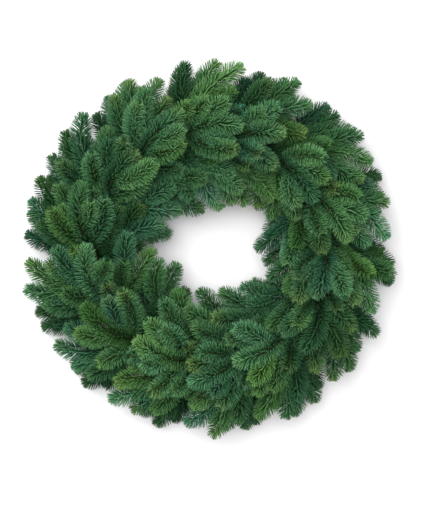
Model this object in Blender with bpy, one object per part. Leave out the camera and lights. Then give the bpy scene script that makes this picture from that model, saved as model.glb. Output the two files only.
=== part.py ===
"""A fir wreath: sprigs of noble fir held in the clamps of a round wire frame.

Metres, +Z up. The wreath lies on its back with its front up. The origin is on the
surface that it lies on, under the middle of its hole. A clock angle runs clockwise
from +Y as the front is seen, and every sprig points clockwise round the ring.
"""
import math
from collections import namedtuple
from functools import partial

import bmesh
import bpy
import numpy as np

# The wire frame
STATIONS = 14
RING_RADIUS = 0.178
RAIL_SPREAD = 0.013
RAIL_WIRE = 0.0020
RAIL_STEPS = 2 * STATIONS
RAIL_SIDES = 6
CLAMP_WIRE = 0.0013
PRONG_GAP = 0.0030

# The outline that the shoots' tips stay inside
RIM_RADIUS = 0.294
TOP_HEIGHT = 0.098
SHOOT_FLOOR = 0.010

# The sprigs
SEED = 41
GAP = 0.0003
SLIP = 0.0015
STEM_RADIUS = 0.0025
FORK_RADIUS = 0.0021
SHOOT_RADIUS = 0.0016
STEM_TAIL = 0.020
STEM_LEAD = 0.016
LANE_PITCH = 0.0056
RISE = math.radians(32)
START_PULL = 0.34
END_PULL = 0.42
LEADER_STEPS = (0.0, 0.18, 0.39, 0.60, 0.78, 0.90, 1.0)
LOWEST_TIP = 0.022
SIDE_LENGTHS = (0.076, 0.074, 0.064)
SIDE_JOINTS = 3
SIDE_ANGLE = 47
LEAST_SIDE_ANGLE = 34
SIDE_LIFT = 2
SIDE_CURL = 14
FIRST_FORK = 2
FIRST_NEEDLED = 4
BUD = 0.005
ROOT_FREE = 0.005
BENDS = 60
CHOICES = 4

# How far tips stray from their places: clock angle, radius, outward angle, height, pitch
TIP_STRAY = (4, 0.010, 12, 0.008, 5)
INNER_STRAY = (1.5, 0, 0, 0.008, 5)
# How far side shoots stray, each as what all do and what the last tries add
ANGLE_STRAY = (7, 12)
LIFT_STRAY = (5, 14)
LENGTH_STRAY = 0.13
SHORTENING = 0.2
# The crown's tips lean by turns to the rim and to the hole, by a radius and an angle
CROWN_SHIFT = 0.016
CROWN_TURN = 10

# The needles
NEEDLE = 0.025
NEEDLE_LEAN = 52
TIP_NEEDLE = 0.017
TIP_LEAN = 34
FACE_SPIN = 50
NEEDLE_FOOT = 0.0015
NEEDLE_RADII = (0.0011, 0.0002)
NEEDLE_ROOT = 0.0020
SIDE_ROOT = 0.0040
NEEDLE_TRIES = 14
TURN_STRAY = (5, 24)
LEAN_STRAY = (3, 10)
NEEDLE_SHORTENING = 0.25
FLOOR_CLEARANCE = 0.0008

# The outline of the hole, as clock angles in degrees and radii. It sets the inner tips,
# which point inward of the clockwise way by these angles, from the first station on
HOLE_EDGE = (
    (0, 0.055), (12, 0.058), (22, 0.060), (32, 0.078), (46, 0.090), (62, 0.100), (80, 0.078),
    (90, 0.064), (102, 0.064), (120, 0.110), (134, 0.054), (144, 0.092), (160, 0.068),
    (171, 0.052), (190, 0.060), (208, 0.064), (221, 0.084), (243, 0.048), (258, 0.064),
    (271, 0.092), (290, 0.056), (303, 0.118), (314, 0.082), (322, 0.062), (340, 0.054),
)
INWARD = (24, 40, 35, 30, 65, 40, 75, 40, 35, 30, 55, 35, 70, 40)
FIRST_INNER_TIP = 344
TIP_REACH = 0.013
HOLE_SLACK = 0.003

# A tier of sprigs: its lane across the clamps, the clock angle from clamp to tip,
# the tip's radius and height, the way it points there (outward from the clockwise
# way, and up), how far its upper side leans outward, and its side shoots, each on
# the outer (+1) or the inner (-1) side of one of the leader's three forks
Tier = namedtuple("Tier", "name lane advance radius height outward pitch face sides")
OUT, IN = 1, -1
HAND_FACE = {OUT: 2, IN: 0}
TIERS = (
    Tier("rim", 1.5, 26, 0.287, 0.028, 52, 0, 34, ((1, OUT), (1, IN), (2, OUT), (2, IN))),
    Tier("outer", 0.5, 37, 0.280, 0.060, 40, 3, 20, ((1, OUT), (1, IN), (2, OUT), (2, IN))),
    Tier("crown", -0.5, 41, 0.205, 0.086, 6, 7, 0,
         ((0, OUT), (0, IN), (1, OUT), (1, IN), (2, OUT), (2, IN))),
    Tier("inner", -1.5, 41, None, 0.052, None, 2, -16, ((0, OUT), (1, OUT), (1, IN), (2, OUT))),
)

Shoot = namedtuple("Shoot", "name path radii upper")
Sprig = namedtuple("Sprig", "name leader sides")


def unit(vector):
    return vector / np.linalg.norm(vector)


def around(clock, radius, height):
    """The point at a clock angle, a radius and a height."""
    return np.array([radius * math.sin(clock), radius * math.cos(clock), height])


def heading(clock, outward, pitch):
    """The way that leaves the clockwise one by an angle outward and another upward."""
    out = np.array([math.sin(clock), math.cos(clock), 0.0])
    clockwise = np.array([math.cos(clock), -math.sin(clock), 0.0])
    level = clockwise * math.cos(outward) + out * math.sin(outward)
    return level * math.cos(pitch) + np.array([0.0, 0.0, math.sin(pitch)])


def loosened(stray, loose):
    """How far something strays on a try between the first, 0, and the last, 1."""
    return stray[0] + stray[1] * loose


def bezier(start, start_handle, end_handle, end, t):
    """A point on a cubic curve."""
    s = 1.0 - t
    return s**3 * start + 3 * s * s * t * start_handle + 3 * s * t * t * end_handle + t**3 * end


class Space:
    """The tapered rods placed so far, so that new ones can be kept clear of them."""

    def __init__(self):
        self.starts = np.empty((0, 3))
        self.ends = np.empty((0, 3))
        self.radii = np.empty((0, 2))
        self.owners = np.empty(0, dtype=int)
        self.numbers = {}
        self.tips = []

    def number(self, owner):
        return self.numbers.setdefault(owner, len(self.numbers))

    def add(self, start, end, radii, owner):
        self.starts = np.vstack((self.starts, start))
        self.ends = np.vstack((self.ends, end))
        self.radii = np.vstack((self.radii, radii))
        self.owners = np.append(self.owners, self.number(owner))

    def gap(self, start, end, radii, ignored=()):
        """The clear distance from a new rod to the nearest one whose owner isn't ignored."""
        kept = np.full(len(self.owners), True)
        for owner in ignored:
            kept &= self.owners != self.number(owner)
        if not kept.any():
            return math.inf
        ours, theirs = end - start, self.ends[kept] - self.starts[kept]
        offset = start - self.starts[kept]
        a, e = ours @ ours, (theirs * theirs).sum(1)
        b, c, f = theirs @ ours, offset @ ours, (theirs * offset).sum(1)
        s = np.clip((b * f - c * e) / np.maximum(a * e - b * b, 1e-15), 0, 1)
        t = np.clip((b * s + f) / e, 0, 1)
        s = np.clip((b * t - c) / a, 0, 1)
        apart = offset + s[:, None] * ours - t[:, None] * theirs
        bulk = radii[0] + (radii[1] - radii[0]) * s
        bulk = bulk + self.radii[kept, 0] + (self.radii[kept, 1] - self.radii[kept, 0]) * t
        return float((np.linalg.norm(apart, axis=1) - bulk).min())

    def shoot_gap(self, shoot, first, ignored):
        """The smallest gap of a shoot's rods, from its given rod on."""
        return min(self.gap(*rod, ignored) for rod, owner in rods(shoot)[first:])

    def add_shoot(self, shoot):
        for rod, owner in rods(shoot):
            self.add(*rod, owner)
        self.tips.append(shoot.path[-1])

    def tip_distance(self, shoot):
        """How far a shoot's tip is from the nearest other tip."""
        return min((np.linalg.norm(tip - shoot.path[-1]) for tip in self.tips), default=1.0)


def bud_point(path):
    """The point of the bud at the end of a shoot."""
    return path[-1] + unit(path[-1] - path[-2]) * BUD


def rods(shoot):
    """The tapered rods along a shoot and its bud, each with its owner; the root is left free."""
    path = [*shoot.path, bud_point(shoot.path)]
    path[0] = path[0] + unit(path[1] - path[0]) * ROOT_FREE
    radii = (*shoot.radii, 0)
    ends = zip(path, path[1:], radii, radii[1:])
    return [((a, b, (ra, rb)), (shoot.name, number)) for number, (a, b, ra, rb) in enumerate(ends)]


def station_clock(station):
    """The clock angle of a clamp, which puts the inner tips on the hole's outline."""
    inner = TIERS[-1]
    return math.radians(FIRST_INNER_TIP - inner.advance) + math.tau * station / STATIONS


def hole_radius(clock):
    """The radius of the hole's edge at a clock angle."""
    clocks, radii = zip(*HOLE_EDGE)
    return np.interp(np.degrees(clock), clocks, radii, period=360)


def stem_height():
    """The height of the stems' middle line where they lie across the clamp wires."""
    rail_top = 2 * RAIL_WIRE * math.cos(math.pi / RAIL_SIDES)
    return rail_top + GAP + STEM_RADIUS / 2


def spare_room(shoot, ends):
    """How far a shoot's last points stay inside the wreath's outline, less than 0 outside."""
    free = np.array(shoot.path[-ends:])
    radii = np.linalg.norm(free[:, :2], axis=1)
    hole = radii - hole_radius(np.arctan2(free[:, 0], free[:, 1])) - TIP_REACH
    height = min(TOP_HEIGHT - free[:, 2].max(), free[:, 2].min() - SHOOT_FLOOR)
    return min(RIM_RADIUS - radii.max(), hole.min() + HOLE_SLACK, height)


def leader_shoot(tier, station, rng, loose):
    """A sprig's main stem: straight under its clamp, then a curve up and away to its tip."""
    clock = station_clock(station)
    lane = around(clock, RING_RADIUS + tier.lane * LANE_PITCH, stem_height())
    along = heading(clock, 0, 0)
    base, lead = lane - along * STEM_TAIL, lane + along * STEM_LEAD
    inner = tier.radius is None
    stray = rng.uniform(-1, 1, 5) * (1 + loose) * (INNER_STRAY if inner else TIP_STRAY)
    lean = (-1) ** station * (tier.name == "crown")
    tip_clock = clock + math.radians(tier.advance + stray[0])
    radius = hole_radius(tip_clock) + TIP_REACH if inner else tier.radius + lean * CROWN_SHIFT
    outward = -INWARD[station] if inner else tier.outward + lean * CROWN_TURN
    tip = around(tip_clock, radius + stray[1], max(tier.height + stray[3], LOWEST_TIP))
    pitch = math.radians(tier.pitch + stray[4])
    way = heading(tip_clock, math.radians(outward + stray[2]), pitch)
    reach = np.linalg.norm(tip - lead)
    handles = lead + heading(clock, 0, RISE) * reach * START_PULL, tip - way * reach * END_PULL
    path = [base] + [bezier(lead, *handles, tip, t) for t in LEADER_STEPS]
    radii = (STEM_RADIUS, STEM_RADIUS, STEM_RADIUS, FORK_RADIUS) + (SHOOT_RADIUS,) * 4
    face = math.radians(tier.face)
    upper = heading(tip_clock, math.pi / 2, 0) * math.sin(face) + np.array([0, 0, math.cos(face)])
    return Shoot(f"{tier.name}_{station}", path, radii, upper)


def side_shoot(leader, fork, hand, rng, loose):
    """A shoot that leaves the leader to one side at a fork and curls forward."""
    ring = FIRST_FORK + fork
    root = leader.path[ring]
    forward = unit(leader.path[ring + 1] - root)
    side = hand * unit(np.cross(leader.upper, forward))
    angle = max(SIDE_ANGLE + rng.normal(0, loosened(ANGLE_STRAY, loose)), LEAST_SIDE_ANGLE)
    lift = math.radians(rng.normal(SIDE_LIFT, loosened(LIFT_STRAY, loose)))
    length = SIDE_LENGTHS[fork] * (1 + rng.normal(0, LENGTH_STRAY))
    length -= SIDE_LENGTHS[fork] * SHORTENING * loose * rng.random()
    over = unit(np.cross(forward, side)) * hand
    path = [root + side * FORK_RADIUS / 2]
    for joint in range(SIDE_JOINTS):
        turn = math.radians(angle - SIDE_CURL * joint)
        way = forward * math.cos(turn) + side * math.sin(turn)
        way = way * math.cos(lift) + over * math.sin(lift)
        path.append(path[-1] + way * length / SIDE_JOINTS)
    radii = (SHOOT_RADIUS,) * (SIDE_JOINTS + 1)
    return Shoot(f"{leader.name}_{fork}_{hand}", path, radii, leader.upper)


def settle(make, space, first, ends, ignored):
    """Place the clear shoot, of the first few, whose tip is farthest from the other tips."""
    clear = []
    for bend in range(BENDS):
        shoot = make(bend / BENDS)
        if spare_room(shoot, ends) > 0 and space.shoot_gap(shoot, first, ignored) > SLIP:
            clear.append(shoot)
        if len(clear) == CHOICES:
            break
    if not clear:
        return None
    chosen = max(clear, key=space.tip_distance)
    space.add_shoot(chosen)
    return chosen


def frame_rods(space):
    """The frame's wires as rods, for keeping the foliage clear of them."""
    level = RAIL_WIRE * math.cos(math.pi / RAIL_SIDES)
    for step in range(RAIL_STEPS):
        for spread in (-RAIL_SPREAD, RAIL_SPREAD):
            clocks = [math.tau * (step + end) / RAIL_STEPS for end in (0, 1)]
            ends = [around(clock, RING_RADIUS + spread, level) for clock in clocks]
            space.add(*ends, (RAIL_WIRE, RAIL_WIRE), "frame")
    for station in range(STATIONS):
        points = clamp_path(station_clock(station))
        for start, end in zip(points, points[1:]):
            space.add(start, end, (CLAMP_WIRE, CLAMP_WIRE), "frame")


def clamp_path(clock):
    """The middle line of a clamp: prong, leg, cross wire, leg and prong."""
    low = RAIL_WIRE * math.cos(math.pi / RAIL_SIDES)
    high = stem_height() + STEM_RADIUS + GAP + CLAMP_WIRE
    outline = (
        (PRONG_GAP, high), (RAIL_SPREAD, high), (RAIL_SPREAD, low),
        (-RAIL_SPREAD, low), (-RAIL_SPREAD, high), (-PRONG_GAP, high),
    )
    return [around(clock, RING_RADIUS + across, height) for across, height in outline]


def grow_sprigs(space):
    """Every sprig of the wreath: leaders first, then the side shoots that find room."""
    rng = np.random.default_rng(SEED)
    leaders = []
    for tier in TIERS:
        for station in range(STATIONS):
            make = partial(leader_shoot, tier, station, rng)
            leaders.append((tier, station, settle(make, space, FIRST_FORK, 1, ())))
    sprigs = []
    for tier, station, leader in leaders:
        sides = []
        for fork, hand in tier.sides:
            make = partial(side_shoot, leader, fork, hand, rng)
            ring = FIRST_FORK + fork
            at_fork = ((leader.name, ring - 1), (leader.name, ring))
            shoot = settle(make, space, 0, SIDE_JOINTS, at_fork)
            if shoot is not None:
                sides.append((fork, hand, shoot))
        sprigs.append(Sprig(f"{tier.name}_sprig_{station + 1:02d}", leader, sides))
    return sprigs


class Solid:
    """Points and faces of one closed body, grown outward from its own faces."""

    def __init__(self):
        self.points = []
        self.faces = []

    def point(self, place):
        self.points.append(tuple(place))
        return len(self.points) - 1

    def place(self, corner):
        return np.array(self.points[corner])

    def face(self, *corners):
        self.faces.append(corners)

    def spike(self, tip, corners):
        """A three-sided spike on a triangle."""
        apex = self.point(tip)
        for first, second in zip(corners, (*corners[1:], corners[0])):
            self.face(first, second, apex)

    def side(self, a, b, c, d, low=None, high=None):
        """Fill the side a-b-c-d of a stem; low and high are raised from its two ends."""
        if low is None and high is None:
            self.face(a, b, c)
            self.face(a, c, d)
            return
        start, end = (self.place(a) + self.place(b)) / 2, (self.place(c) + self.place(d)) / 2
        way = unit(end - start)
        near = far = None
        if low is not None:
            near = self.point(start + way * SIDE_ROOT)
            low((a, b, near))
        if high is not None:
            far = self.point(end - way * NEEDLE_ROOT)
            high((c, d, far))
        if near is None:
            self.face(a, b, far)
        if far is None:
            self.face(c, d, near)
        near, far = (far if near is None else near), (near if far is None else far)
        self.face(b, c, far)
        self.face(d, a, near)
        if near != far:
            self.face(b, far, near)
            self.face(d, near, far)


def ring_places(centre, axis, toward, radius):
    """Three points round an axis, the first on the side of a given direction."""
    first = unit(toward - axis * (toward @ axis))
    second = np.cross(axis, first)
    turns = [math.tau * number / 3 for number in range(3)]
    return [centre + radius * (first * math.cos(t) + second * math.sin(t)) for t in turns]


def bend_axis(path, number):
    """The direction of a path at one of its points."""
    ahead = path[min(number + 1, len(path) - 1)] - path[number]
    behind = path[number] - path[max(number - 1, 0)]
    ways = [unit(way) for way in (ahead, behind) if np.linalg.norm(way) > 0]
    return unit(sum(ways))


class Needles:
    """Chooses a clear place for each needle."""

    def __init__(self, space):
        self.space = space
        self.rng = np.random.default_rng(SEED + 1)

    def choose(self, shoot, ring, root, face_way):
        """The tip of a needle rooted on one face of a shoot, or None where nothing is clear."""
        axis = bend_axis(shoot.path, ring)
        last = ring == len(shoot.path) - 1
        spin = FACE_SPIN * (ring % 2 - 0.5)
        lean, full = (TIP_LEAN, TIP_NEEDLE) if last else (NEEDLE_LEAN, NEEDLE)
        beside = ((shoot.name, ring - 1), (shoot.name, ring))
        for attempt in range(NEEDLE_TRIES):
            loose = attempt / NEEDLE_TRIES
            turn = spin * (1 - loose) + self.rng.normal(0, loosened(TURN_STRAY, loose))
            tilt = math.radians(lean + self.rng.normal(0, loosened(LEAN_STRAY, loose)))
            length = full * (1 - NEEDLE_SHORTENING * loose * self.rng.random())
            turn = math.radians(turn)
            way = face_way * math.cos(turn) + np.cross(axis, face_way) * math.sin(turn)
            way = axis * math.cos(tilt) + way * math.sin(tilt)
            rod = (root + way * NEEDLE_FOOT, root + way * length, NEEDLE_RADII)
            if rod[1][2] > FLOOR_CLEARANCE and self.space.gap(*rod, beside) > GAP:
                self.space.add(*rod, "needle")
                return rod[1]
        return None


def clothe(solid, shoot, ring, needled, needles, forks):
    """Grow a shoot from a ring of three corners, with its needles, side shoots and bud."""
    path = shoot.path
    for number in range(1, len(path)):
        axis = bend_axis(path, number)
        toward = solid.place(ring[0]) - path[number - 1]
        places = ring_places(path[number], axis, toward, shoot.radii[number])
        upper_ring = [solid.point(place) for place in places]
        for face in range(3):
            a, b = ring[face], ring[(face + 1) % 3]
            c, d = upper_ring[(face + 1) % 3], upper_ring[face]
            high = None
            if needled(number, face):
                root = (solid.place(c) + solid.place(d)) / 2
                tip = needles.choose(shoot, number, root, unit(root - path[number]))
                if tip is not None:
                    high = partial(solid.spike, tip)
            solid.side(a, b, c, d, forks.get((number, face)), high)
        ring = upper_ring
    solid.spike(bud_point(path), ring)


def two_faces(number, face):
    """Whether a side shoot has a needle on a face at a ring: two of three do, by turns."""
    return (face + number) % 3 != 0


def clothe_side(solid, shoot, needles, corners):
    """Grow a side shoot from a triangle on its leader."""
    clothe(solid, shoot, corners, two_faces, needles, {})


def sprig_mesh(sprig, needles):
    """One sprig as a closed body: stem, side shoots, buds and needles."""
    solid = Solid()
    leader = sprig.leader
    axis = bend_axis(leader.path, 0)
    places = ring_places(leader.path[0], axis, np.array([0.0, 0.0, 1.0]), leader.radii[0])
    ring = [solid.point(place) for place in places]
    solid.face(ring[2], ring[1], ring[0])
    forks = {}
    for fork, hand, shoot in sprig.sides:
        raise_side = partial(clothe_side, solid, shoot, needles)
        forks[FIRST_FORK + fork + 1, HAND_FACE[hand]] = raise_side

    def free_face(number, face):
        return number >= FIRST_NEEDLED and not {(number, face), (number + 1, face)} & set(forks)

    clothe(solid, leader, ring, free_face, needles, forks)
    return solid


def add_object(name, points, faces, material):
    mesh = bpy.data.meshes.new(name)
    mesh.from_pydata(points, [], faces)
    mesh.materials.append(material)
    piece = bpy.data.objects.new(name, mesh)
    bpy.context.scene.collection.objects.link(piece)
    return piece


def surface(name, colour, roughness, metallic):
    material = bpy.data.materials.new(name)
    material.use_nodes = True
    shader = material.node_tree.nodes["Principled BSDF"]
    shader.inputs["Base Color"].default_value = (*colour, 1.0)
    shader.inputs["Roughness"].default_value = roughness
    shader.inputs["Metallic"].default_value = metallic
    return material


def rail_object(name, radius, material):
    """A round rail: a six-sided wire, flat below, bent to a ring."""
    level = RAIL_WIRE * math.cos(math.pi / RAIL_SIDES)
    points, faces = [], []
    for step in range(RAIL_STEPS):
        clock = math.tau * step / RAIL_STEPS
        for side in range(RAIL_SIDES):
            turn = math.tau * side / RAIL_SIDES
            across, up = RAIL_WIRE * math.cos(turn), RAIL_WIRE * math.sin(turn)
            points.append(tuple(around(clock, radius + across, level + up)))
            here, ahead = step * RAIL_SIDES, (step + 1) % RAIL_STEPS * RAIL_SIDES
            onward = (side + 1) % RAIL_SIDES
            faces.append((here + side, ahead + side, ahead + onward, here + onward))
    return add_object(name, points, faces, material)


def clamp_object(name, clock, material):
    """A clamp: one square wire along the clamp's path."""
    path = clamp_path(clock)
    across = heading(clock, 0, 0)
    points, faces = [], []
    for number, place in enumerate(path):
        ahead = path[min(number + 1, len(path) - 1)] - place
        behind = place - path[max(number - 1, 0)]
        ways = [unit(way) for way in (ahead, behind) if np.linalg.norm(way) > 0]
        inward = np.cross(across, unit(sum(ways)))
        stretch = 1 / math.cos(math.acos(np.clip(ways[0] @ ways[-1], -1, 1)) / 2)
        for side_way, in_way in ((1, 1), (-1, 1), (-1, -1), (1, -1)):
            offset = across * side_way + inward * in_way * stretch
            points.append(tuple(place + offset * CLAMP_WIRE))
    for number in range(len(path) - 1):
        for side in range(4):
            a, b = number * 4 + side, number * 4 + (side + 1) % 4
            faces.append((a, b, b + 4, a + 4))
    faces.append((3, 2, 1, 0))
    faces.append(tuple(len(points) - 4 + side for side in range(4)))
    return add_object(name, points, faces, material)


def clamp_ring(material):
    """The whole frame, its rails and clamps welded into one."""
    ring = rail_object("clamp_ring", RING_RADIUS + RAIL_SPREAD, material)
    parts = bpy.data.collections.new("frame_parts")
    bpy.context.scene.collection.children.link(parts)
    pieces = [rail_object("inner_rail", RING_RADIUS - RAIL_SPREAD, material)]
    for station in range(STATIONS):
        pieces.append(clamp_object(f"clamp_{station}", station_clock(station), material))
    for piece in pieces:
        bpy.context.scene.collection.objects.unlink(piece)
        parts.objects.link(piece)
    union = ring.modifiers.new("weld", "BOOLEAN")
    union.operation = "UNION"
    union.operand_type = "COLLECTION"
    union.collection = parts
    bpy.context.view_layer.update()
    welded = bpy.data.meshes.new_from_object(ring.evaluated_get(bpy.context.evaluated_depsgraph_get()))
    ring.modifiers.clear()
    ring.data = welded
    for piece in pieces:
        bpy.data.objects.remove(piece)
    bpy.data.collections.remove(parts)
    face_outward(ring)
    return ring


def face_outward(piece):
    mesh = bmesh.new()
    mesh.from_mesh(piece.data)
    bmesh.ops.recalc_face_normals(mesh, faces=mesh.faces)
    mesh.to_mesh(piece.data)
    mesh.free()


def main():
    for piece in list(bpy.data.objects):
        bpy.data.objects.remove(piece)
    wire = surface("frame_wire", (0.10, 0.13, 0.10), 0.45, 0.8)
    clamp_ring(wire)
    space = Space()
    frame_rods(space)
    needles = Needles(space)
    for sprig in grow_sprigs(space):
        solid = sprig_mesh(sprig, needles)
        foliage = surface(sprig.name, (0.045, 0.12, 0.055), 0.55, 0.0)
        add_object(sprig.name, solid.points, solid.faces, foliage)


main()
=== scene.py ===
"""The looks of the fir wreath: needles, twigs, buds and wire in place of the plain solids.

Metres, +Z up, as in the frame. The shoots are laid out again by the same rule and the same
seed as the solids, so every needle grows where its solid stands.
"""

import math
from collections import namedtuple
from functools import partial

import bpy
import numpy as np
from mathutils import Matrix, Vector


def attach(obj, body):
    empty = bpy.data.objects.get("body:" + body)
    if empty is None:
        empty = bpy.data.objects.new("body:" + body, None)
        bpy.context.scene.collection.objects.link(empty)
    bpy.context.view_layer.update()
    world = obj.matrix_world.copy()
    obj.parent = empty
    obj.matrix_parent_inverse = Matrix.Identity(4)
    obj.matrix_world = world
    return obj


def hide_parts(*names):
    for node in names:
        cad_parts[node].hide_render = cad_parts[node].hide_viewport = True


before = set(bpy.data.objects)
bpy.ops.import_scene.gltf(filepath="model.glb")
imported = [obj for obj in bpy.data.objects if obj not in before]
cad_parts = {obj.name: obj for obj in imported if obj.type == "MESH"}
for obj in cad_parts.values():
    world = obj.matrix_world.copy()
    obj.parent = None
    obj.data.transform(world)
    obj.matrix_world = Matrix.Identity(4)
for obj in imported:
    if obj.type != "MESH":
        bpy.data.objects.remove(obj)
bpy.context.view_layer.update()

# The wire frame
STATIONS = 14
RING_RADIUS = 0.178
RAIL_SPREAD = 0.013
RAIL_WIRE = 0.0020
RAIL_STEPS = 2 * STATIONS
RAIL_SIDES = 6
CLAMP_WIRE = 0.0013
PRONG_GAP = 0.0030

# The outline that the shoots' tips stay inside
RIM_RADIUS = 0.294
TOP_HEIGHT = 0.098
SHOOT_FLOOR = 0.010

# The sprigs
SEED = 41
GAP = 0.0003
SLIP = 0.0015
STEM_RADIUS = 0.0025
FORK_RADIUS = 0.0021
SHOOT_RADIUS = 0.0016
STEM_TAIL = 0.020
STEM_LEAD = 0.016
LANE_PITCH = 0.0056
RISE = math.radians(32)
START_PULL = 0.34
END_PULL = 0.42
LEADER_STEPS = (0.0, 0.18, 0.39, 0.60, 0.78, 0.90, 1.0)
LOWEST_TIP = 0.022
SIDE_LENGTHS = (0.076, 0.074, 0.064)
SIDE_JOINTS = 3
SIDE_ANGLE = 47
LEAST_SIDE_ANGLE = 34
SIDE_LIFT = 2
SIDE_CURL = 14
FIRST_FORK = 2
BUD = 0.005
ROOT_FREE = 0.005
BENDS = 60
CHOICES = 4

# How far tips stray from their places: clock angle, radius, outward angle, height, pitch
TIP_STRAY = (4, 0.010, 12, 0.008, 5)
INNER_STRAY = (1.5, 0, 0, 0.008, 5)
# How far side shoots stray, each as what all do and what the last tries add
ANGLE_STRAY = (7, 12)
LIFT_STRAY = (5, 14)
LENGTH_STRAY = 0.13
SHORTENING = 0.2
# The crown's tips lean by turns to the rim and to the hole, by a radius and an angle
CROWN_SHIFT = 0.016
CROWN_TURN = 10

# The outline of the hole, as clock angles in degrees and radii. It sets the inner tips,
# which point inward of the clockwise way by these angles, from the first station on
HOLE_EDGE = (
    (0, 0.055), (12, 0.058), (22, 0.060), (32, 0.078), (46, 0.090), (62, 0.100), (80, 0.078),
    (90, 0.064), (102, 0.064), (120, 0.110), (134, 0.054), (144, 0.092), (160, 0.068),
    (171, 0.052), (190, 0.060), (208, 0.064), (221, 0.084), (243, 0.048), (258, 0.064),
    (271, 0.092), (290, 0.056), (303, 0.118), (314, 0.082), (322, 0.062), (340, 0.054),
)
INWARD = (24, 40, 35, 30, 65, 40, 75, 40, 35, 30, 55, 35, 70, 40)
FIRST_INNER_TIP = 344
TIP_REACH = 0.013
HOLE_SLACK = 0.003

# A tier of sprigs: its lane across the clamps, the clock angle from clamp to tip,
# the tip's radius and height, the way it points there (outward from the clockwise
# way, and up), how far its upper side leans outward, and its side shoots, each on
# the outer (+1) or the inner (-1) side of one of the leader's three forks
Tier = namedtuple("Tier", "name lane advance radius height outward pitch face sides")
OUT, IN = 1, -1
TIERS = (
    Tier("rim", 1.5, 26, 0.287, 0.028, 52, 0, 34, ((1, OUT), (1, IN), (2, OUT), (2, IN))),
    Tier("outer", 0.5, 37, 0.280, 0.060, 40, 3, 20, ((1, OUT), (1, IN), (2, OUT), (2, IN))),
    Tier("crown", -0.5, 41, 0.205, 0.086, 6, 7, 0,
         ((0, OUT), (0, IN), (1, OUT), (1, IN), (2, OUT), (2, IN))),
    Tier("inner", -1.5, 41, None, 0.052, None, 2, -16, ((0, OUT), (1, OUT), (1, IN), (2, OUT))),
)

LOOK_SEED = 7

# The needles: ranks round a shoot, by their angles from its upper side, each with its
# step along the shoot. The lower ranks, which are mostly hidden, are sparser
UPPER_RANKS = ((12, 0.0034), (35, 0.0034), (58, 0.0034), (81, 0.0034))
LOWER_RANKS = ((106, 0.0040), (142, 0.0055))
STEP_JITTER = 0.08
TURN_JITTER = math.radians(5.5)
NEEDLE = 0.0240
NEEDLE_WIDTH = 0.0017
NEEDLE_THICK = 0.0009
NEEDLE_OFFSET = 0.0012
LENGTH_SPREAD = 0.03
LEAN_SPREAD = 2.0
FLOOR_CLEARANCE = 0.0006
# The bare part of a side shoot's root, and the smaller needles along the next part
BARE_ROOT = 0.006
ROOT_SIZE = 0.72
ROOT_STRETCH = 0.020
# How far before and behind a needle its shoot's direction is taken
BEND_REACH = 0.002
# A needle bows: it leaves the shoot at more than its lean and ends at less, and turns up
BOW_OUT = 0.12
BOW_IN = 0.05
NEEDLE_LIFT = 0.10
# Extra needles stand round a shoot's tip, within a short way of it
TIP_NEEDLES = 14
TIP_SPREAD = 0.003
# By the distance to a shoot's tip: how far needles lean off the shoot, and their size
LEAN_PLACES = (0.0, 0.003, 0.010, 0.022, 0.060)
LEANS = (22, 34, 43, 49, 52)
SIZE_PLACES = (0.0, 0.004, 0.014, 0.030)
SIZES = (0.50, 0.64, 0.86, 1.0)
# Needles on the upper side lean further forward, by their angle from it
TOP_TURNS = (0, 20, 45, 90)
TOP_LEANS = (0.70, 0.95, 1.12, 1.0)
# Needles near the lower side are darker, by their angle from the upper one: painted shade, as if
# the shoot shaded its own underside
PAINTED_SHADE_TURNS = (0, 60, 100, 150)
PAINTED_SHADES = (1.02, 1.04, 0.80, 0.42)
# A needle is a point, rings of three corners and a blunt point. The rings are given by
# their shares of its length and of its width
UPPER_RINGS = ((0.13, 1.0), (0.84, 0.92))
LOWER_RINGS = ((0.35, 1.5),)
NEEDLE_SECTION = ((1.0, 0.4), (-1.0, 0.4), (0.0, -0.7))
# Two sets of needles, each with its ranks, its rings and how many stand round the tip
NEEDLE_SETS = ((UPPER_RANKS, UPPER_RINGS, TIP_NEEDLES), (LOWER_RANKS, LOWER_RINGS, 0))

# The greens of the needles, from grass green to blue green, at their roots and their ends. The
# roots' greens are much darker: painted shade near the twig
SHADED_ROOT_GREENS = ((0.016, 0.078, 0.011), (0.009, 0.068, 0.027))
END_GREENS = ((0.073, 0.192, 0.045), (0.050, 0.174, 0.088))
YOUNG_GREEN = (0.128, 0.215, 0.046)
YOUNG_LENGTH = 0.028
NEEDLE_TONE_SPREAD = 0.09
# What the pale bloom on needles multiplies their tint by
BLOOM = (1.20, 1.04, 1.35)
NEEDLE_SHINE = 0.13
# Needles low in the wreath, in the shade of others, are darker, by the heights of their roots
SHADED_HEIGHTS = (0.015, 0.045, 0.085)
SHADED_LIGHTS = (0.42, 0.92, 1.24)
# How much of the blue green a shoot has, how light it is and how young: the middle value,
# and how much it varies with the sprig and by itself
BLUENESS = (0.46, 0.07, 0.21)
LIGHTNESS = (1.0, 0.05, 0.21)
YOUTH = (0.24, 0.0, 0.25)
DARKEST, LIGHTEST = 0.45, 1.55
OLDEST, YOUNGEST = 0.0, 0.85
# Lighter needles are greyer: how strongly red, green and blue follow their lightness
LIGHT_POWERS = (1.28, 0.96, 0.92)

# The twigs, with their radii at the root, the middle and the tip
LINE_STEPS = 6
TWIG_SIDES = 5
LEADER_RADII = (0.0024, 0.0018, 0.0012)
SIDE_RADII = (0.0018, 0.0018, 0.0012)
TWIG_BROWN = (0.048, 0.056, 0.018)
TWIG_GREEN = (0.068, 0.094, 0.027)
# The buds, with their profile as shares of their length and of their radius
BUD_LENGTH = 0.0042
BUD_RADIUS = 0.0015
BUD_SIDES = 6
BUD_PROFILE = ((-0.10, 0.55), (0.15, 0.95), (0.45, 1.0), (0.75, 0.62), (1.0, 0.08))
BUD_BROWN = (0.104, 0.098, 0.034)
BUD_TONE_SPREAD = 0.15

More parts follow.
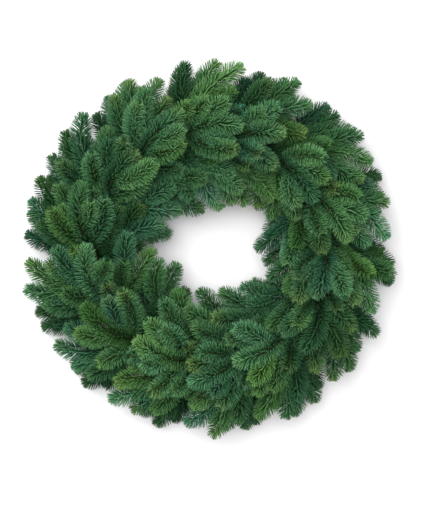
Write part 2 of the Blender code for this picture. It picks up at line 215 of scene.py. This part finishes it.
# The wire, with beads of weld that bulge a little round the rails at each clamp
WIRE_SIDES = 10
RAIL_POINTS = 168
CLAMP_CORNER = 0.0035
CORNER_STEPS = 5
WELD_TURN = 0.018
WELD_BULGE = 0.0009
ENAMEL_GREEN = (0.030, 0.075, 0.040)
BARE_STEEL = (0.30, 0.29, 0.27)

# Noise patterns on the materials, each as its scale and its detail
BLOOM_CLOUDS = (55, 3)
NEEDLE_SMUDGES = (400, 2)
BARK_MOTTLE = (900, 4)
ENAMEL_SCUFFS = (260, 5)
ENAMEL_SMUDGES = (120, 3)
# The part of a pattern's values that is spread out, and the few high ones that are scuffs
NOISE_RANGE = (0.3, 0.7)
SCUFF_RANGE = (0.64, 0.70)
# Roughness, as its least and its most or as one value
NEEDLE_ROUGHNESS = (0.42, 0.58)
ENAMEL_ROUGHNESS = (0.28, 0.45)
BARK_ROUGHNESS = 0.75
FLOOR_ROUGHNESS = 0.8
# The bark's shine, how much dark bark is mixed into its tint, and the depth of its relief
BARK_SHINE = 0.10
BARK_MIX = (0.0, 0.6)
DARK_BARK = (0.025, 0.028, 0.012)
BARK_RELIEF = 0.5
BARK_DEPTH = 0.0004

# The stage
CAMERA_PLACE = (0.0035, -0.0145, 1.992)
CAMERA_LENS = 85
CAMERA_SENSOR = 36
FLOOR_HALF = 4.0
WORLD_LIGHT = 1.15
# Soft lights, each as its power, its size and its place: one from the upper left, one above
LIGHTS = ((38, 1.6, (-1.1, 1.2, 1.6)), (52, 1.8, (-0.3, 0.3, 2.6)))
FLOOR_WHITE = 0.64

Shoot = namedtuple("Shoot", "name path radii upper")
Sprig = namedtuple("Sprig", "name leader sides")


def unit(vector):
    return vector / np.linalg.norm(vector)


def around(clock, radius, height):
    """The point at a clock angle, a radius and a height."""
    return np.array([radius * math.sin(clock), radius * math.cos(clock), height])


def heading(clock, outward, pitch):
    """The way that leaves the clockwise one by an angle outward and another upward."""
    out = np.array([math.sin(clock), math.cos(clock), 0.0])
    clockwise = np.array([math.cos(clock), -math.sin(clock), 0.0])
    level = clockwise * math.cos(outward) + out * math.sin(outward)
    return level * math.cos(pitch) + np.array([0.0, 0.0, math.sin(pitch)])


def loosened(stray, loose):
    """How far something strays on a try between the first, 0, and the last, 1."""
    return stray[0] + stray[1] * loose


def bezier(start, start_handle, end_handle, end, t):
    """A point on a cubic curve."""
    s = 1.0 - t
    return s**3 * start + 3 * s * s * t * start_handle + 3 * s * t * t * end_handle + t**3 * end


class Space:
    """The tapered rods placed so far, so that new ones can be kept clear of them."""

    def __init__(self):
        self.starts = np.empty((0, 3))
        self.ends = np.empty((0, 3))
        self.radii = np.empty((0, 2))
        self.owners = np.empty(0, dtype=int)
        self.numbers = {}
        self.tips = []

    def number(self, owner):
        return self.numbers.setdefault(owner, len(self.numbers))

    def add(self, start, end, radii, owner):
        self.starts = np.vstack((self.starts, start))
        self.ends = np.vstack((self.ends, end))
        self.radii = np.vstack((self.radii, radii))
        self.owners = np.append(self.owners, self.number(owner))

    def gap(self, start, end, radii, ignored=()):
        """The clear distance from a new rod to the nearest one whose owner isn't ignored."""
        kept = np.full(len(self.owners), True)
        for owner in ignored:
            kept &= self.owners != self.number(owner)
        if not kept.any():
            return math.inf
        ours, theirs = end - start, self.ends[kept] - self.starts[kept]
        offset = start - self.starts[kept]
        a, e = ours @ ours, (theirs * theirs).sum(1)
        b, c, f = theirs @ ours, offset @ ours, (theirs * offset).sum(1)
        s = np.clip((b * f - c * e) / np.maximum(a * e - b * b, 1e-15), 0, 1)
        t = np.clip((b * s + f) / e, 0, 1)
        s = np.clip((b * t - c) / a, 0, 1)
        apart = offset + s[:, None] * ours - t[:, None] * theirs
        bulk = radii[0] + (radii[1] - radii[0]) * s
        bulk = bulk + self.radii[kept, 0] + (self.radii[kept, 1] - self.radii[kept, 0]) * t
        return float((np.linalg.norm(apart, axis=1) - bulk).min())

    def shoot_gap(self, shoot, first, ignored):
        """The smallest gap of a shoot's rods, from its given rod on."""
        return min(self.gap(*rod, ignored) for rod, owner in rods(shoot)[first:])

    def add_shoot(self, shoot):
        for rod, owner in rods(shoot):
            self.add(*rod, owner)
        self.tips.append(shoot.path[-1])

    def tip_distance(self, shoot):
        """How far a shoot's tip is from the nearest other tip."""
        return min((np.linalg.norm(tip - shoot.path[-1]) for tip in self.tips), default=1.0)


def bud_point(path):
    """The point of the bud at the end of a shoot."""
    return path[-1] + unit(path[-1] - path[-2]) * BUD


def rods(shoot):
    """The tapered rods along a shoot and its bud, each with its owner; the root is left free."""
    path = [*shoot.path, bud_point(shoot.path)]
    path[0] = path[0] + unit(path[1] - path[0]) * ROOT_FREE
    radii = (*shoot.radii, 0)
    ends = zip(path, path[1:], radii, radii[1:])
    return [((a, b, (ra, rb)), (shoot.name, number)) for number, (a, b, ra, rb) in enumerate(ends)]


def station_clock(station):
    """The clock angle of a clamp, which puts the inner tips on the hole's outline."""
    inner = TIERS[-1]
    return math.radians(FIRST_INNER_TIP - inner.advance) + math.tau * station / STATIONS


def hole_radius(clock):
    """The radius of the hole's edge at a clock angle."""
    clocks, radii = zip(*HOLE_EDGE)
    return np.interp(np.degrees(clock), clocks, radii, period=360)


def stem_height():
    """The height of the stems' middle line where they lie across the clamp wires."""
    rail_top = 2 * RAIL_WIRE * math.cos(math.pi / RAIL_SIDES)
    return rail_top + GAP + STEM_RADIUS / 2


def spare_room(shoot, ends):
    """How far a shoot's last points stay inside the wreath's outline, less than 0 outside."""
    free = np.array(shoot.path[-ends:])
    radii = np.linalg.norm(free[:, :2], axis=1)
    hole = radii - hole_radius(np.arctan2(free[:, 0], free[:, 1])) - TIP_REACH
    height = min(TOP_HEIGHT - free[:, 2].max(), free[:, 2].min() - SHOOT_FLOOR)
    return min(RIM_RADIUS - radii.max(), hole.min() + HOLE_SLACK, height)


def leader_shoot(tier, station, rng, loose):
    """A sprig's main stem: straight under its clamp, then a curve up and away to its tip."""
    clock = station_clock(station)
    lane = around(clock, RING_RADIUS + tier.lane * LANE_PITCH, stem_height())
    along = heading(clock, 0, 0)
    base, lead = lane - along * STEM_TAIL, lane + along * STEM_LEAD
    inner = tier.radius is None
    stray = rng.uniform(-1, 1, 5) * (1 + loose) * (INNER_STRAY if inner else TIP_STRAY)
    lean = (-1) ** station * (tier.name == "crown")
    tip_clock = clock + math.radians(tier.advance + stray[0])
    radius = hole_radius(tip_clock) + TIP_REACH if inner else tier.radius + lean * CROWN_SHIFT
    outward = -INWARD[station] if inner else tier.outward + lean * CROWN_TURN
    tip = around(tip_clock, radius + stray[1], max(tier.height + stray[3], LOWEST_TIP))
    pitch = math.radians(tier.pitch + stray[4])
    way = heading(tip_clock, math.radians(outward + stray[2]), pitch)
    reach = np.linalg.norm(tip - lead)
    handles = lead + heading(clock, 0, RISE) * reach * START_PULL, tip - way * reach * END_PULL
    path = [base] + [bezier(lead, *handles, tip, t) for t in LEADER_STEPS]
    radii = (STEM_RADIUS, STEM_RADIUS, STEM_RADIUS, FORK_RADIUS) + (SHOOT_RADIUS,) * 4
    face = math.radians(tier.face)
    upper = heading(tip_clock, math.pi / 2, 0) * math.sin(face) + np.array([0, 0, math.cos(face)])
    return Shoot(f"{tier.name}_{station}", path, radii, upper)


def side_shoot(leader, fork, hand, rng, loose):
    """A shoot that leaves the leader to one side at a fork and curls forward."""
    ring = FIRST_FORK + fork
    root = leader.path[ring]
    forward = unit(leader.path[ring + 1] - root)
    side = hand * unit(np.cross(leader.upper, forward))
    angle = max(SIDE_ANGLE + rng.normal(0, loosened(ANGLE_STRAY, loose)), LEAST_SIDE_ANGLE)
    lift = math.radians(rng.normal(SIDE_LIFT, loosened(LIFT_STRAY, loose)))
    length = SIDE_LENGTHS[fork] * (1 + rng.normal(0, LENGTH_STRAY))
    length -= SIDE_LENGTHS[fork] * SHORTENING * loose * rng.random()
    over = unit(np.cross(forward, side)) * hand
    path = [root + side * FORK_RADIUS / 2]
    for joint in range(SIDE_JOINTS):
        turn = math.radians(angle - SIDE_CURL * joint)
        way = forward * math.cos(turn) + side * math.sin(turn)
        way = way * math.cos(lift) + over * math.sin(lift)
        path.append(path[-1] + way * length / SIDE_JOINTS)
    radii = (SHOOT_RADIUS,) * (SIDE_JOINTS + 1)
    return Shoot(f"{leader.name}_{fork}_{hand}", path, radii, leader.upper)


def settle(make, space, first, ends, ignored):
    """Place the clear shoot, of the first few, whose tip is farthest from the other tips."""
    clear = []
    for bend in range(BENDS):
        shoot = make(bend / BENDS)
        if spare_room(shoot, ends) > 0 and space.shoot_gap(shoot, first, ignored) > SLIP:
            clear.append(shoot)
        if len(clear) == CHOICES:
            break
    if not clear:
        return None
    chosen = max(clear, key=space.tip_distance)
    space.add_shoot(chosen)
    return chosen


def frame_rods(space):
    """The frame's wires as rods, for keeping the foliage clear of them."""
    level = RAIL_WIRE * math.cos(math.pi / RAIL_SIDES)
    for step in range(RAIL_STEPS):
        for spread in (-RAIL_SPREAD, RAIL_SPREAD):
            clocks = [math.tau * (step + end) / RAIL_STEPS for end in (0, 1)]
            ends = [around(clock, RING_RADIUS + spread, level) for clock in clocks]
            space.add(*ends, (RAIL_WIRE, RAIL_WIRE), "frame")
    for station in range(STATIONS):
        points = clamp_path(station_clock(station))
        for start, end in zip(points, points[1:]):
            space.add(start, end, (CLAMP_WIRE, CLAMP_WIRE), "frame")


def clamp_path(clock):
    """The middle line of a clamp: prong, leg, cross wire, leg and prong."""
    low = RAIL_WIRE * math.cos(math.pi / RAIL_SIDES)
    high = stem_height() + STEM_RADIUS + GAP + CLAMP_WIRE
    outline = (
        (PRONG_GAP, high), (RAIL_SPREAD, high), (RAIL_SPREAD, low),
        (-RAIL_SPREAD, low), (-RAIL_SPREAD, high), (-PRONG_GAP, high),
    )
    return [around(clock, RING_RADIUS + across, height) for across, height in outline]


def grow_sprigs(space):
    """Every sprig of the wreath: leaders first, then the side shoots that find room."""
    rng = np.random.default_rng(SEED)
    leaders = []
    for tier in TIERS:
        for station in range(STATIONS):
            make = partial(leader_shoot, tier, station, rng)
            leaders.append((tier, station, settle(make, space, FIRST_FORK, 1, ())))
    sprigs = []
    for tier, station, leader in leaders:
        sides = []
        for fork, hand in tier.sides:
            make = partial(side_shoot, leader, fork, hand, rng)
            ring = FIRST_FORK + fork
            at_fork = ((leader.name, ring - 1), (leader.name, ring))
            shoot = settle(make, space, 0, SIDE_JOINTS, at_fork)
            if shoot is not None:
                sides.append((fork, hand, shoot))
        sprigs.append(Sprig(f"{tier.name}_sprig_{station + 1:02d}", leader, sides))
    return sprigs


def unit_rows(vectors):
    return vectors / np.linalg.norm(vectors, axis=-1, keepdims=True)


def smooth_line(path):
    """Points along a smooth curve through the points of a path."""
    path = np.array(path)
    path = np.vstack((2 * path[0] - path[1], path, 2 * path[-1] - path[-2]))
    points = []
    for a, b, c, d in zip(path, path[1:], path[2:], path[3:]):
        for step in range(LINE_STEPS):
            t = step / LINE_STEPS
            bend = (2 * a - 5 * b + 4 * c - d) * t * t + (3 * b - a - 3 * c + d) * t**3
            points.append(b + ((c - a) * t + bend) / 2)
    points.append(path[-2])
    return np.array(points)


def distances(line):
    """How far along a line each of its points is."""
    return np.concatenate(([0], np.cumsum(np.linalg.norm(np.diff(line, axis=0), axis=1))))


def places_on(line, along):
    """The points at given distances along a line."""
    at = distances(line)
    return np.stack([np.interp(along, at, line[:, axis]) for axis in range(3)], 1)


class Growth:
    """The points, tints and faces of one piece, gathered before its mesh is made."""

    def __init__(self):
        self.points, self.tints, self.faces, self.kinds = [], [], [], []
        self.count = 0

    def add(self, points, tints, faces, kind):
        """Add faces of one material, given as corner numbers into the points."""
        self.points.append(points)
        self.tints.append(np.broadcast_to(tints, points.shape))
        self.faces += [[corner + self.count for corner in face] for face in faces]
        self.kinds += [kind] * len(faces)
        self.count += len(points)

    def piece(self, name, materials, node, slot):
        """The finished piece, which stands for a node and rides on the wreath."""
        mesh = bpy.data.meshes.new(name)
        mesh.from_pydata(np.vstack(self.points).tolist(), [], self.faces)
        mesh.shade_smooth()
        tints = np.vstack(self.tints)
        tint = mesh.color_attributes.new("Tint", "FLOAT_COLOR", "POINT")
        colours = np.hstack((tints, np.ones((len(tints), 1)))).astype(np.float32)
        tint.data.foreach_set("color", colours.ravel())
        for material in materials:
            mesh.materials.append(material)
        mesh.polygons.foreach_set("material_index", self.kinds)
        piece = bpy.data.objects.new(name, mesh)
        bpy.context.scene.collection.objects.link(piece)
        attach(piece, "root")
        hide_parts(node)
        return piece


def tube(line, radii, sides, closed=False):
    """The points and faces of a round tube along a line."""
    if closed:
        axes = unit_rows(np.roll(line, -1, axis=0) - np.roll(line, 1, axis=0))
    else:
        axes = unit_rows(np.gradient(line, axis=0))
    across = unit_rows(np.cross(axes, (0.31, 0.23, 0.92)))
    over = np.cross(axes, across)
    turns = np.arange(sides) * math.tau / sides
    rings = across[:, None] * np.cos(turns)[:, None] + over[:, None] * np.sin(turns)[:, None]
    points = (line[:, None] + rings * np.reshape(radii, (-1, 1, 1))).reshape(-1, 3)
    count = len(line)
    faces = []
    for ring in range(count if closed else count - 1):
        here, ahead = ring * sides, (ring + 1) % count * sides
        for side in range(sides):
            onward = (side + 1) % sides
            faces.append((here + side, here + onward, ahead + onward, ahead + side))
    if not closed:
        faces.append(tuple(reversed(range(sides))))
        faces.append(tuple(range((count - 1) * sides, count * sides)))
    return points, faces


def needle_faces(rings):
    """The faces of a needle with so many rings, each seen from outside."""
    last = 3 * rings + 1
    faces = []
    for side in range(3):
        onward = (side + 1) % 3
        faces.append((0, 1 + side, 1 + onward))
        for ring in range(1, last - 3, 3):
            faces.append((ring + side, ring + 3 + side, ring + 3 + onward, ring + onward))
        faces.append((last - 3 + side, last, last - 3 + onward))
    return faces


def needle_stations(ranks, round_tip, first, length, rng):
    """Where needles stand: distances along a shoot, and turns from its upper side."""
    along, turns = [], []
    for rank, step in ranks:
        for hand in (-1, 1):
            steps = np.arange(0.25 + hand / 4, (length - first) / step)
            along.append(first + (steps + rng.normal(0, STEP_JITTER, len(steps))) * step)
            turns.append(hand * math.radians(rank) + rng.normal(0, TURN_JITTER, len(steps)))
    along.append(length - rng.uniform(0, TIP_SPREAD, round_tip))
    turns.append(np.linspace(-math.pi, math.pi, round_tip, endpoint=False))
    return np.clip(np.concatenate(along), 0, length), np.concatenate(turns)


def add_needles(growth, line, upper, first, needles, tone, rng):
    """A set of needles on a shoot, from a given distance along its line to its tip."""
    ranks, rings, round_tip = needles
    length = distances(line)[-1]
    along, turn = needle_stations(ranks, round_tip, first, length, rng)
    count, to_tip = len(along), length - along
    axis = unit_rows(places_on(line, along + BEND_REACH) - places_on(line, along - BEND_REACH))
    up = unit_rows(upper - axis * (axis @ upper)[:, None])
    side = np.cross(axis, up)
    out = up * np.cos(turn)[:, None] + side * np.sin(turn)[:, None]
    lean = np.interp(to_tip, LEAN_PLACES, LEANS) + rng.normal(0, LEAN_SPREAD, count)
    lean = np.radians(lean) * np.interp(np.degrees(np.abs(turn)), TOP_TURNS, TOP_LEANS)
    size = np.interp(to_tip, SIZE_PLACES, SIZES) * rng.normal(1, LENGTH_SPREAD, count)
    size *= np.interp(along - first, (0, ROOT_STRETCH), (ROOT_SIZE, 1.0))

    def way(angle, lift):
        return unit_rows(axis * np.cos(angle)[:, None] + out * np.sin(angle)[:, None] + up * lift)

    root = places_on(line, along) + out * NEEDLE_OFFSET
    low, high = way(lean + BOW_OUT, 0), way(lean - BOW_IN, NEEDLE_LIFT)
    reach = (NEEDLE * size)[:, None]
    flat = unit_rows(np.cross(low, out))
    thick = unit_rows(np.cross(flat, high))
    points, shares = [root], [0]
    for share, width in rings:
        bow = low * share * (2 - share) + high * share * share
        for across, through in NEEDLE_SECTION:
            offset = flat * across * NEEDLE_WIDTH / 2 + thick * through * NEEDLE_THICK
            points.append(root + bow * reach / 2 + offset * width)
            shares.append(share)
    points = np.stack([*points, root + (low + high) * reach / 2], 1)
    points[:, :, 2] = np.maximum(points[:, :, 2], FLOOR_CLEARANCE)

    shares = np.array([*shares, 1])[None, :, None]
    shaded_root_green, end_green, youth = tone
    # Each needle darkens from its end to its root: painted shade near the twig
    tints = shaded_root_green + (end_green - shaded_root_green) * shares
    young = youth * np.interp(to_tip, (0, YOUNG_LENGTH), (1.0, 0.0))[:, None, None] * shares
    tints = tints * (1 - young) + np.array(YOUNG_GREEN) * young
    # Painted shade: needles on a shoot's lower side, and needles low in the wreath, are darker; a
    # random tone is added on top
    light = np.interp(np.degrees(np.abs(turn)), PAINTED_SHADE_TURNS, PAINTED_SHADES)
    light *= np.interp(root[:, 2], SHADED_HEIGHTS, SHADED_LIGHTS)
    light *= rng.normal(1, NEEDLE_TONE_SPREAD, count)
    tints = tints * tint_light(light)[:, None]
    starts = np.arange(count) * points.shape[1]
    needle = needle_faces(len(rings))
    faces = [[start + corner for corner in face] for start in starts for face in needle]
    growth.add(points.reshape(-1, 3), np.clip(tints, 0, 1).reshape(-1, 3), faces, 0)


def tint_light(light):
    """What a lightness multiplies the red, green and blue of a tint by."""
    return np.power.outer(light, LIGHT_POWERS)


def shoot_tone(sprig_tone, rng):
    """The greens of one shoot, at the roots and the ends of its needles, and its youth."""
    blue, light, youth = (
        middle + shared * sprig_tone + rng.normal(0, own)
        for middle, shared, own in (BLUENESS, LIGHTNESS, YOUTH)
    )
    blue = np.clip(blue, 0, 1)
    light = np.clip(light, DARKEST, LIGHTEST)
    # The roots' greens carry painted shade near the twig
    root, end = (
        (np.array(grass) * (1 - blue) + np.array(blue_green) * blue) * tint_light(light)
        for grass, blue_green in (SHADED_ROOT_GREENS, END_GREENS)
    )
    return root, end, np.clip(youth, OLDEST, YOUNGEST)


def add_bud(growth, place, way, rng):
    """A small pointed bud on the tip of a shoot."""
    along, girth = np.array(BUD_PROFILE).T
    line = place + way * along[:, None] * BUD_LENGTH
    points, faces = tube(line, girth * BUD_RADIUS, BUD_SIDES)
    growth.add(points, np.array(BUD_BROWN) * rng.normal(1, BUD_TONE_SPREAD), faces, 1)


def sprig_piece(sprig, materials, rng):
    """One sprig with its twigs, buds and needles."""
    growth = Growth()
    sprig_tone = rng.normal(0, 1)
    for shoot in (sprig.leader, *(side[2] for side in sprig.sides)):
        line = smooth_line(shoot.path)
        at = distances(line)
        leader = shoot is sprig.leader
        bare = at[LINE_STEPS] + STEM_LEAD if leader else BARE_ROOT
        tone = shoot_tone(sprig_tone, rng)
        for needles in NEEDLE_SETS:
            add_needles(growth, line, shoot.upper, bare, needles, tone, rng)
        girth = LEADER_RADII if leader else SIDE_RADII
        radii = np.interp(at, (0, at[-1] / 2, at[-1]), girth)
        points, faces = tube(line, radii, TWIG_SIDES)
        growth.add(points, np.array(TWIG_BROWN if leader else TWIG_GREEN), faces, 1)
        add_bud(growth, line[-1], unit(line[-1] - line[-2]), rng)
    return growth.piece(f"foliage_{sprig.name}", materials, sprig.name, "fir")


def rounded(path):
    """A path with its corners rounded off."""
    points = [path[0]]
    for before, corner, after in zip(path, path[1:], path[2:]):
        start = corner + unit(before - corner) * CLAMP_CORNER
        end = corner + unit(after - corner) * CLAMP_CORNER
        for t in np.linspace(0, 1, CORNER_STEPS + 1):
            points.append(start * (1 - t) ** 2 + corner * 2 * t * (1 - t) + end * t * t)
    points.append(path[-1])
    return np.array(points)


def weld_bead(clock, radius, level):
    """The points and faces of a bead of weld round a rail, flat where it would go below 0."""
    line = smooth_line([around(clock + turn, radius, level) for turn in (-WELD_TURN, 0, WELD_TURN)])
    girth = level + WELD_BULGE * np.sin(np.linspace(0, math.pi, len(line)))
    points, faces = tube(line, girth, WIRE_SIDES)
    points[:, 2] = np.maximum(points[:, 2], 0)
    return points, faces


def frame_piece(enamel):
    """The wire frame: two round rails, and the bent clamp wires welded across them."""
    level = RAIL_WIRE * math.cos(math.pi / RAIL_SIDES)
    clocks = np.arange(RAIL_POINTS) * math.tau / RAIL_POINTS
    tubes = []
    for spread in (-RAIL_SPREAD, RAIL_SPREAD):
        line = np.array([around(clock, RING_RADIUS + spread, level) for clock in clocks])
        tubes.append(tube(line, np.full(RAIL_POINTS, level), WIRE_SIDES, closed=True))
    for station in range(STATIONS):
        clock = station_clock(station)
        line = rounded(clamp_path(clock))
        tubes.append(tube(line, np.full(len(line), CLAMP_WIRE), WIRE_SIDES))
        for spread in (-RAIL_SPREAD, RAIL_SPREAD):
            tubes.append(weld_bead(clock, RING_RADIUS + spread, level))
    growth = Growth()
    for points, faces in tubes:
        growth.add(points, np.array(ENAMEL_GREEN), faces, 0)
    return growth.piece("wire_frame", [enamel], "clamp_ring", "frame_wire")


def material(name):
    made = bpy.data.materials.new(name)
    made.use_nodes = True
    return made, made.node_tree.nodes, made.node_tree.links


def noise(nodes, links, scale, detail):
    """A noise pattern fixed to the piece."""
    place = nodes.new("ShaderNodeTexCoord")
    pattern = nodes.new("ShaderNodeTexNoise")
    pattern.inputs["Scale"].default_value = scale
    pattern.inputs["Detail"].default_value = detail
    links.new(place.outputs["Object"], pattern.inputs["Vector"])
    return pattern.outputs["Fac"]


def spread(nodes, links, value, reach, within=NOISE_RANGE):
    """A value from within a range, spread over the reach from a low value to a high one."""
    ramp = nodes.new("ShaderNodeMapRange")
    names = ("From Min", "From Max", "To Min", "To Max")
    for name, number in zip(names, (*within, *reach)):
        ramp.inputs[name].default_value = number
    links.new(value, ramp.inputs["Value"])
    return ramp.outputs["Result"]


def mix(nodes, links, factor, first, second, blend="MIX"):
    """A mix of two colours, each a socket or fixed numbers."""
    mixer = nodes.new("ShaderNodeMix")
    mixer.data_type = "RGBA"
    mixer.blend_type = blend
    colours = [socket for socket in mixer.inputs if socket.type == "RGBA"]
    for socket, colour in zip(colours, (first, second)):
        if isinstance(colour, tuple):
            socket.default_value = (*colour, 1.0)
        else:
            links.new(colour, socket)
    links.new(factor, mixer.inputs[0])
    return next(socket for socket in mixer.outputs if socket.type == "RGBA")


def tint_socket(nodes):
    attribute = nodes.new("ShaderNodeVertexColor")
    attribute.layer_name = "Tint"
    return attribute.outputs["Color"]


def needle_material():
    """Waxy needles: the tint of each, clouded here and there with a pale blue bloom."""
    made, nodes, links = material("fir_needles")
    shader = nodes["Principled BSDF"]
    bloom = spread(nodes, links, noise(nodes, links, *BLOOM_CLOUDS), (0.0, 1.0))
    colour = mix(nodes, links, bloom, tint_socket(nodes), BLOOM, "MULTIPLY")
    smudges = noise(nodes, links, *NEEDLE_SMUDGES)
    links.new(colour, shader.inputs["Base Color"])
    links.new(spread(nodes, links, smudges, NEEDLE_ROUGHNESS), shader.inputs["Roughness"])
    shader.inputs["Specular IOR Level"].default_value = NEEDLE_SHINE
    return made


def bark_material():
    """Twigs and buds: the tint, mottled and rough."""
    made, nodes, links = material("fir_bark")
    shader = nodes["Principled BSDF"]
    mottle = noise(nodes, links, *BARK_MOTTLE)
    dark = spread(nodes, links, mottle, BARK_MIX)
    relief = nodes.new("ShaderNodeBump")
    relief.inputs["Strength"].default_value = BARK_RELIEF
    relief.inputs["Distance"].default_value = BARK_DEPTH
    links.new(mottle, relief.inputs["Height"])
    links.new(mix(nodes, links, dark, tint_socket(nodes), DARK_BARK), shader.inputs["Base Color"])
    links.new(relief.outputs["Normal"], shader.inputs["Normal"])
    shader.inputs["Roughness"].default_value = BARK_ROUGHNESS
    shader.inputs["Specular IOR Level"].default_value = BARK_SHINE
    return made


def enamel_material():
    """Dark green enamel on steel wire, scuffed to bare metal in small spots."""
    made, nodes, links = material("green_enamel")
    shader = nodes["Principled BSDF"]
    scuffs = spread(nodes, links, noise(nodes, links, *ENAMEL_SCUFFS), (0.0, 1.0), SCUFF_RANGE)
    colour = mix(nodes, links, scuffs, tint_socket(nodes), BARE_STEEL)
    smudges = noise(nodes, links, *ENAMEL_SMUDGES)
    links.new(colour, shader.inputs["Base Color"])
    links.new(scuffs, shader.inputs["Metallic"])
    links.new(spread(nodes, links, smudges, ENAMEL_ROUGHNESS), shader.inputs["Roughness"])
    return made


def aim(thing, target):
    """Point a light or a camera at a place."""
    way = Vector(target) - thing.location
    thing.rotation_euler = way.to_track_quat("-Z", "Y").to_euler()


def add_floor():
    turns = ((-1, -1), (1, -1), (1, 1), (-1, 1))
    corners = [(across * FLOOR_HALF, along * FLOOR_HALF, 0) for across, along in turns]
    mesh = bpy.data.meshes.new("floor")
    mesh.from_pydata(corners, [], [(0, 1, 2, 3)])
    floor = bpy.data.objects.new("floor", mesh)
    bpy.context.scene.collection.objects.link(floor)
    made, nodes, _ = material("floor_white")
    white = (FLOOR_WHITE, FLOOR_WHITE, FLOOR_WHITE, 1.0)
    nodes["Principled BSDF"].inputs["Base Color"].default_value = white
    nodes["Principled BSDF"].inputs["Roughness"].default_value = FLOOR_ROUGHNESS
    mesh.materials.append(made)


def add_lights():
    world = bpy.data.worlds.new("studio")
    world.use_nodes = True
    background = world.node_tree.nodes["Background"]
    background.inputs["Color"].default_value = (1.0, 1.0, 1.0, 1.0)
    background.inputs["Strength"].default_value = WORLD_LIGHT
    bpy.context.scene.world = world
    for power, size, place in LIGHTS:
        light = bpy.data.lights.new("softbox", "AREA")
        light.energy = power
        light.size = size
        box = bpy.data.objects.new("softbox", light)
        box.location = place
        aim(box, (0, 0, 0))
        bpy.context.scene.collection.objects.link(box)


def add_camera():
    lens = bpy.data.cameras.new("camera")
    lens.lens = CAMERA_LENS
    lens.sensor_width = CAMERA_SENSOR
    camera = bpy.data.objects.new("camera", lens)
    camera.location = CAMERA_PLACE
    bpy.context.scene.collection.objects.link(camera)
    bpy.context.scene.camera = camera


def main():
    bpy.context.scene.view_settings.view_transform = "Standard"
    frame_piece(enamel_material())
    space = Space()
    frame_rods(space)
    rng = np.random.default_rng(LOOK_SEED)
    materials = [needle_material(), bark_material()]
    for sprig in grow_sprigs(space):
        sprig_piece(sprig, materials, rng)
    add_floor()
    add_lights()
    add_camera()


main()
